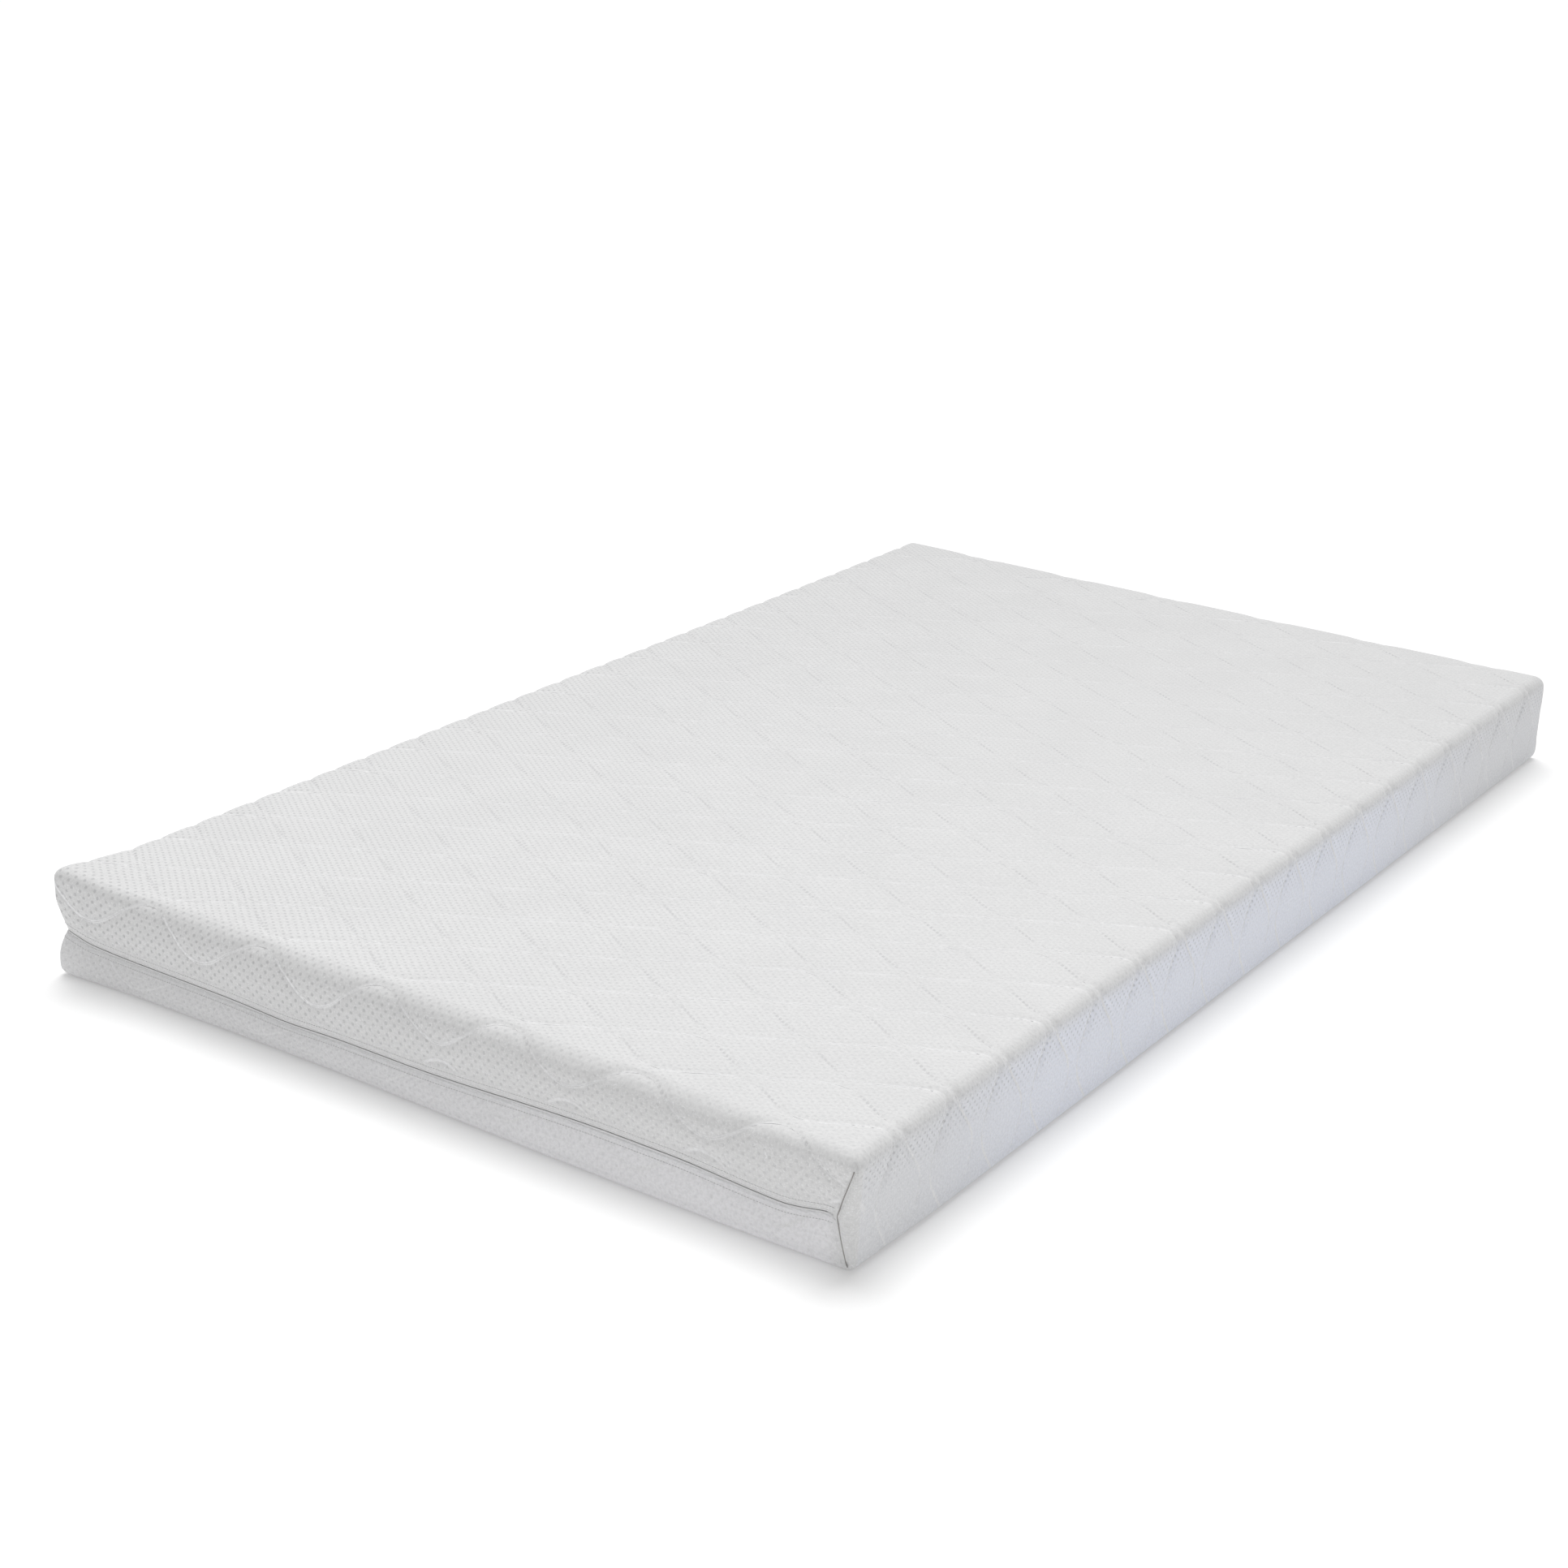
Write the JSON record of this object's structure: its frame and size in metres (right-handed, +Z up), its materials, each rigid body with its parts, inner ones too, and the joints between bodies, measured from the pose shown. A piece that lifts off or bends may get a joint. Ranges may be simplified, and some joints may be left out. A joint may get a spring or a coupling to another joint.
{
  "type": "memory foam mattress",
  "caption": "Flat rectangular foam mattress in a white quilted knit cover that unzips along both ends and one long side.",
  "frame": {"origin": "middle of the underside, on the surface the mattress lies on", "axes": "+Z up through the thickness, +Y along the bed's length, +X across it towards the seam-free long side"},
  "size_m": [1.2, 2, 0.14],
  "materials": {
    "knit": "matte",
    "wadding": "matte",
    "backing": "matte",
    "liner": "matte",
    "memory_foam": "matte",
    "support_foam": "matte",
    "hem": "matte",
    "thread": "satin",
    "zip_tape": "matte",
    "zip_coil": "satin",
    "zip_stop": "satin",
    "zip_metal": "satin",
    "label": "satin"
  },
  "bodies": {
    "mattress": {"support_foam": "support_foam", "memory_foam": "memory_foam", "foam_liner": "liner", "cover_backing": "backing", "cover_wadding": "wadding", "cover_knit": "knit", "zip_welt_upper": "hem", "zip_welt_lower": "hem", "zip_topstitch_upper": "thread", "zip_topstitch_lower": "thread", "zip_tape_upper": "zip_tape", "zip_tape_lower": "zip_tape", "zip_coil_upper": "zip_coil", "zip_coil_lower": "zip_coil", "zip_end_stops": "zip_stop", "corner_seam_front": "hem", "corner_seam_back": "hem", "care_label": "label"},
    "slider": {"zip_slider": "zip_metal"},
    "pull_tab": {"zip_pull": "zip_metal"}
  },
  "joints": [
    {"name": "zip_slide", "type": "slide", "parent": "mattress", "child": "slider", "axis": [-1, 0, 0], "range_m": [0, 1.09]},
    {"name": "pull_swing", "type": "hinge", "parent": "slider", "child": "pull_tab", "pos_m": [0.5468, 0.9893, 0.056], "axis": [1, 0, 0], "range_deg": [0, 140]}
  ]
}
